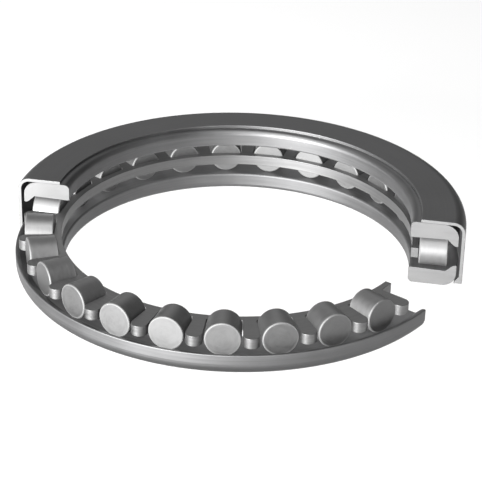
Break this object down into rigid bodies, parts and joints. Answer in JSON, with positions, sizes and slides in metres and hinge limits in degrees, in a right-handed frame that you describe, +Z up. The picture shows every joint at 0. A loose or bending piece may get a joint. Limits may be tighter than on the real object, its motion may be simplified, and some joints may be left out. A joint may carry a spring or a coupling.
{
  "type": "tapered roller thrust bearing",
  "caption": "Single-direction tapered roller thrust bearing, sectioned to show its rollers, comb cage, two ribbed washers and sheet-steel cover.",
  "frame": {"origin": "on the bearing's axis, at the plane that the lower washer stands on", "axes": "+Z up along the bearing's axis, away from the lower washer; +X lies in the section plane, which the upper washer and the cover are cut on, and +Y points to the half that they keep"},
  "size_m": [0.1964, 0.1938, 0.0303],
  "materials": {
    "washer_steel": "ground",
    "cover_sheet": "drawn sheet",
    "cage_steel": "machined",
    "roller_steel": "ground and honed"
  },
  "bodies": {
    "lower": {"lower_washer": "washer_steel"},
    "upper": {"upper_washer": "washer_steel", "cover": "cover_sheet"},
    "cage": {"cage": "cage_steel"},
    "roller_01": {"roller_01": "roller_steel"},
    "roller_02": {"roller_02": "roller_steel"},
    "roller_03": {"roller_03": "roller_steel"},
    "roller_04": {"roller_04": "roller_steel"},
    "roller_05": {"roller_05": "roller_steel"},
    "roller_06": {"roller_06": "roller_steel"},
    "roller_07": {"roller_07": "roller_steel"},
    "roller_08": {"roller_08": "roller_steel"},
    "roller_09": {"roller_09": "roller_steel"},
    "roller_10": {"roller_10": "roller_steel"},
    "roller_11": {"roller_11": "roller_steel"},
    "roller_12": {"roller_12": "roller_steel"},
    "roller_13": {"roller_13": "roller_steel"},
    "roller_14": {"roller_14": "roller_steel"},
    "roller_15": {"roller_15": "roller_steel"},
    "roller_16": {"roller_16": "roller_steel"},
    "roller_17": {"roller_17": "roller_steel"},
    "roller_18": {"roller_18": "roller_steel"},
    "roller_19": {"roller_19": "roller_steel"},
    "roller_20": {"roller_20": "roller_steel"},
    "roller_21": {"roller_21": "roller_steel"},
    "roller_22": {"roller_22": "roller_steel"},
    "roller_23": {"roller_23": "roller_steel"}
  },
  "joints": [
    {"name": "turn", "type": "hinge", "parent": "lower", "child": "upper", "pos_m": [0, 0, 0], "axis": [0, 0, 1], "continuous": true},
    {"name": "cage_turn", "type": "hinge", "parent": "lower", "child": "cage", "pos_m": [0, 0, 0], "axis": [0, 0, 1], "continuous": true},
    {"name": "roller_01_spin", "type": "hinge", "parent": "cage", "child": "roller_01", "pos_m": [0.08484, 0.00593, 0.01444], "axis": [0.9976, 0.0698, 0], "continuous": true},
    {"name": "roller_02_spin", "type": "hinge", "parent": "cage", "child": "roller_02", "pos_m": [0.0807, 0.02685, 0.01444], "axis": [0.9489, 0.3156, 0], "continuous": true},
    {"name": "roller_03_spin", "type": "hinge", "parent": "cage", "child": "roller_03", "pos_m": [0.07149, 0.04607, 0.01444], "axis": [0.8406, 0.5417, 0], "continuous": true},
    {"name": "roller_04_spin", "type": "hinge", "parent": "cage", "child": "roller_04", "pos_m": [0.05779, 0.0624, 0.01444], "axis": [0.6794, 0.7337, 0], "continuous": true},
    {"name": "roller_05_spin", "type": "hinge", "parent": "cage", "child": "roller_05", "pos_m": [0.04045, 0.07481, 0.01444], "axis": [0.4756, 0.8796, 0], "continuous": true},
    {"name": "roller_06_spin", "type": "hinge", "parent": "cage", "child": "roller_06", "pos_m": [0.02057, 0.08252, 0.01444], "axis": [0.2419, 0.9703, 0], "continuous": true},
    {"name": "roller_07_spin", "type": "hinge", "parent": "cage", "child": "roller_07", "pos_m": [-0.00059, 0.08505, 0.01444], "axis": [-0.007, 1, 0], "continuous": true},
    {"name": "roller_08_spin", "type": "hinge", "parent": "cage", "child": "roller_08", "pos_m": [-0.02173, 0.08223, 0.01444], "axis": [-0.2554, 0.9668, 0], "continuous": true},
    {"name": "roller_09_spin", "type": "hinge", "parent": "cage", "child": "roller_09", "pos_m": [-0.04149, 0.07424, 0.01444], "axis": [-0.4879, 0.8729, 0], "continuous": true},
    {"name": "roller_10_spin", "type": "hinge", "parent": "cage", "child": "roller_10", "pos_m": [-0.05865, 0.06159, 0.01444], "axis": [-0.6896, 0.7242, 0], "continuous": true},
    {"name": "roller_11_spin", "type": "hinge", "parent": "cage", "child": "roller_11", "pos_m": [-0.07213, 0.04507, 0.01444], "axis": [-0.848, 0.5299, 0], "continuous": true},
    {"name": "roller_12_spin", "type": "hinge", "parent": "cage", "child": "roller_12", "pos_m": [-0.08107, 0.02572, 0.01444], "axis": [-0.9532, 0.3024, 0], "continuous": true},
    {"name": "roller_13_spin", "type": "hinge", "parent": "cage", "child": "roller_13", "pos_m": [-0.08492, 0.00475, 0.01444], "axis": [-0.9984, 0.0558, 0], "continuous": true},
    {"name": "roller_14_spin", "type": "hinge", "parent": "cage", "child": "roller_14", "pos_m": [-0.08343, -0.01652, 0.01444], "axis": [-0.981, -0.1942, 0], "continuous": true},
    {"name": "roller_15_spin", "type": "hinge", "parent": "cage", "child": "roller_15", "pos_m": [-0.0767, -0.03675, 0.01444], "axis": [-0.9018, -0.4321, 0], "continuous": true},
    {"name": "roller_16_spin", "type": "hinge", "parent": "cage", "child": "roller_16", "pos_m": [-0.06515, -0.05467, 0.01444], "axis": [-0.766, -0.6428, 0], "continuous": true},
    {"name": "roller_17_spin", "type": "hinge", "parent": "cage", "child": "roller_17", "pos_m": [-0.04951, -0.06915, 0.01444], "axis": [-0.5821, -0.8131, 0], "continuous": true},
    {"name": "roller_18_spin", "type": "hinge", "parent": "cage", "child": "roller_18", "pos_m": [-0.03076, -0.07929, 0.01444], "axis": [-0.3616, -0.9323, 0], "continuous": true},
    {"name": "roller_19_spin", "type": "hinge", "parent": "cage", "child": "roller_19", "pos_m": [-0.01007, -0.08445, 0.01444], "axis": [-0.1184, -0.993, 0], "continuous": true},
    {"name": "roller_20_spin", "type": "hinge", "parent": "cage", "child": "roller_20", "pos_m": [0.01125, -0.0843, 0.01444], "axis": [0.1323, -0.9912, 0], "continuous": true},
    {"name": "roller_21_spin", "type": "hinge", "parent": "cage", "child": "roller_21", "pos_m": [0.03186, -0.07886, 0.01444], "axis": [0.3746, -0.9272, 0], "continuous": true},
    {"name": "roller_22_spin", "type": "hinge", "parent": "cage", "child": "roller_22", "pos_m": [0.05047, -0.06846, 0.01444], "axis": [0.5934, -0.8049, 0], "continuous": true},
    {"name": "roller_23_spin", "type": "hinge", "parent": "cage", "child": "roller_23", "pos_m": [0.06591, -0.05375, 0.01444], "axis": [0.7749, -0.632, 0], "continuous": true}
  ],
  "couplings": [
    {"joint": "cage_turn", "follows": "turn", "ratio": 0.5},
    {"joint": "roller_01_spin", "follows": "turn", "ratio": -5.8542},
    {"joint": "roller_02_spin", "follows": "turn", "ratio": -5.8542},
    {"joint": "roller_03_spin", "follows": "turn", "ratio": -5.8542},
    {"joint": "roller_04_spin", "follows": "turn", "ratio": -5.8542},
    {"joint": "roller_05_spin", "follows": "turn", "ratio": -5.8542},
    {"joint": "roller_06_spin", "follows": "turn", "ratio": -5.8542},
    {"joint": "roller_07_spin", "follows": "turn", "ratio": -5.8542},
    {"joint": "roller_08_spin", "follows": "turn", "ratio": -5.8542},
    {"joint": "roller_09_spin", "follows": "turn", "ratio": -5.8542},
    {"joint": "roller_10_spin", "follows": "turn", "ratio": -5.8542},
    {"joint": "roller_11_spin", "follows": "turn", "ratio": -5.8542},
    {"joint": "roller_12_spin", "follows": "turn", "ratio": -5.8542},
    {"joint": "roller_13_spin", "follows": "turn", "ratio": -5.8542},
    {"joint": "roller_14_spin", "follows": "turn", "ratio": -5.8542},
    {"joint": "roller_15_spin", "follows": "turn", "ratio": -5.8542},
    {"joint": "roller_16_spin", "follows": "turn", "ratio": -5.8542},
    {"joint": "roller_17_spin", "follows": "turn", "ratio": -5.8542},
    {"joint": "roller_18_spin", "follows": "turn", "ratio": -5.8542},
    {"joint": "roller_19_spin", "follows": "turn", "ratio": -5.8542},
    {"joint": "roller_20_spin", "follows": "turn", "ratio": -5.8542},
    {"joint": "roller_21_spin", "follows": "turn", "ratio": -5.8542},
    {"joint": "roller_22_spin", "follows": "turn", "ratio": -5.8542},
    {"joint": "roller_23_spin", "follows": "turn", "ratio": -5.8542}
  ]
}
